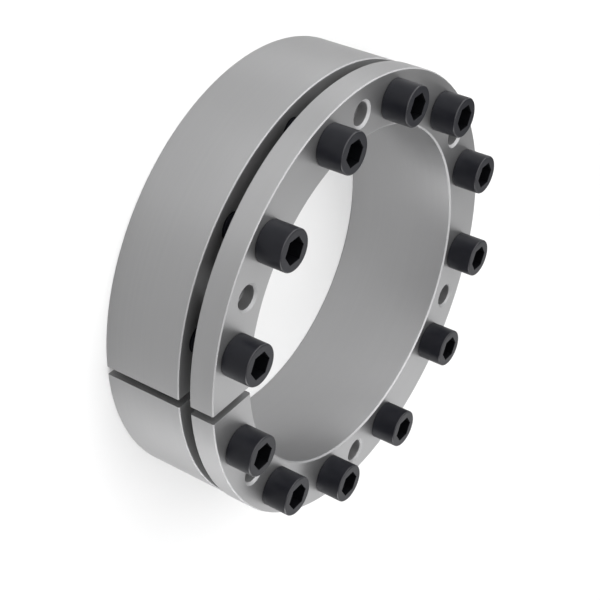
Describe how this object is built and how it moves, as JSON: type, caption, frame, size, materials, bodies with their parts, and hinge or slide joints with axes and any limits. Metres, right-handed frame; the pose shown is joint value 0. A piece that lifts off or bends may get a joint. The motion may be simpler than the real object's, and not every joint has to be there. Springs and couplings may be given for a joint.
{
  "type": "shaft locking assembly",
  "caption": "Keyless shaft locking assembly: slit taper rings with a flange, drawn together by hexagon socket screws to clamp a hub on a shaft.",
  "frame": {"origin": "on the axis, in the rear face of the rings", "axes": "+Z along the axis towards the screw heads, -Y towards the slit"},
  "size_m": [0.236, 0.236, 0.078],
  "materials": {
    "ring_steel": "fine turned steel, lightly oiled",
    "screw_steel": "black oxide on steel, satin"
  },
  "bodies": {
    "inner_ring": {"inner_ring": "ring_steel"},
    "outer_ring": {"outer_ring": "ring_steel"},
    "clamp_screw_01": {"clamp_screw_01": "screw_steel"},
    "clamp_screw_02": {"clamp_screw_02": "screw_steel"},
    "clamp_screw_03": {"clamp_screw_03": "screw_steel"},
    "clamp_screw_04": {"clamp_screw_04": "screw_steel"},
    "clamp_screw_05": {"clamp_screw_05": "screw_steel"},
    "clamp_screw_06": {"clamp_screw_06": "screw_steel"},
    "clamp_screw_07": {"clamp_screw_07": "screw_steel"},
    "clamp_screw_08": {"clamp_screw_08": "screw_steel"},
    "clamp_screw_09": {"clamp_screw_09": "screw_steel"},
    "clamp_screw_10": {"clamp_screw_10": "screw_steel"},
    "clamp_screw_11": {"clamp_screw_11": "screw_steel"},
    "clamp_screw_12": {"clamp_screw_12": "screw_steel"}
  },
  "joints": [
    {"name": "clamp_draw", "type": "slide", "parent": "inner_ring", "child": "outer_ring", "axis": [0, 0, 1], "range_m": [0, 0.002]},
    {"name": "clamp_screw_01_turn", "type": "hinge", "parent": "inner_ring", "child": "clamp_screw_01", "pos_m": [0.02685, -0.10021, 0.064], "axis": [0, 0, -1], "range_deg": [0, 360]},
    {"name": "clamp_screw_02_turn", "type": "hinge", "parent": "inner_ring", "child": "clamp_screw_02", "pos_m": [0.07336, -0.07336, 0.064], "axis": [0, 0, -1], "range_deg": [0, 360]},
    {"name": "clamp_screw_03_turn", "type": "hinge", "parent": "inner_ring", "child": "clamp_screw_03", "pos_m": [0.10021, -0.02685, 0.064], "axis": [0, 0, -1], "range_deg": [0, 360]},
    {"name": "clamp_screw_04_turn", "type": "hinge", "parent": "inner_ring", "child": "clamp_screw_04", "pos_m": [0.10021, 0.02685, 0.064], "axis": [0, 0, -1], "range_deg": [0, 360]},
    {"name": "clamp_screw_05_turn", "type": "hinge", "parent": "inner_ring", "child": "clamp_screw_05", "pos_m": [0.07336, 0.07336, 0.064], "axis": [0, 0, -1], "range_deg": [0, 360]},
    {"name": "clamp_screw_06_turn", "type": "hinge", "parent": "inner_ring", "child": "clamp_screw_06", "pos_m": [0.02685, 0.10021, 0.064], "axis": [0, 0, -1], "range_deg": [0, 360]},
    {"name": "clamp_screw_07_turn", "type": "hinge", "parent": "inner_ring", "child": "clamp_screw_07", "pos_m": [-0.02685, 0.10021, 0.064], "axis": [0, 0, -1], "range_deg": [0, 360]},
    {"name": "clamp_screw_08_turn", "type": "hinge", "parent": "inner_ring", "child": "clamp_screw_08", "pos_m": [-0.07336, 0.07336, 0.064], "axis": [0, 0, -1], "range_deg": [0, 360]},
    {"name": "clamp_screw_09_turn", "type": "hinge", "parent": "inner_ring", "child": "clamp_screw_09", "pos_m": [-0.10021, 0.02685, 0.064], "axis": [0, 0, -1], "range_deg": [0, 360]},
    {"name": "clamp_screw_10_turn", "type": "hinge", "parent": "inner_ring", "child": "clamp_screw_10", "pos_m": [-0.10021, -0.02685, 0.064], "axis": [0, 0, -1], "range_deg": [0, 360]},
    {"name": "clamp_screw_11_turn", "type": "hinge", "parent": "inner_ring", "child": "clamp_screw_11", "pos_m": [-0.07336, -0.07336, 0.064], "axis": [0, 0, -1], "range_deg": [0, 360]},
    {"name": "clamp_screw_12_turn", "type": "hinge", "parent": "inner_ring", "child": "clamp_screw_12", "pos_m": [-0.02685, -0.10021, 0.064], "axis": [0, 0, -1], "range_deg": [0, 360]}
  ],
  "couplings": [
    {"joint": "clamp_screw_01_turn", "follows": "clamp_draw", "rad_per_m": 3141.6},
    {"joint": "clamp_screw_02_turn", "follows": "clamp_draw", "rad_per_m": 3141.6},
    {"joint": "clamp_screw_03_turn", "follows": "clamp_draw", "rad_per_m": 3141.6},
    {"joint": "clamp_screw_04_turn", "follows": "clamp_draw", "rad_per_m": 3141.6},
    {"joint": "clamp_screw_05_turn", "follows": "clamp_draw", "rad_per_m": 3141.6},
    {"joint": "clamp_screw_06_turn", "follows": "clamp_draw", "rad_per_m": 3141.6},
    {"joint": "clamp_screw_07_turn", "follows": "clamp_draw", "rad_per_m": 3141.6},
    {"joint": "clamp_screw_08_turn", "follows": "clamp_draw", "rad_per_m": 3141.6},
    {"joint": "clamp_screw_09_turn", "follows": "clamp_draw", "rad_per_m": 3141.6},
    {"joint": "clamp_screw_10_turn", "follows": "clamp_draw", "rad_per_m": 3141.6},
    {"joint": "clamp_screw_11_turn", "follows": "clamp_draw", "rad_per_m": 3141.6},
    {"joint": "clamp_screw_12_turn", "follows": "clamp_draw", "rad_per_m": 3141.6}
  ]
}
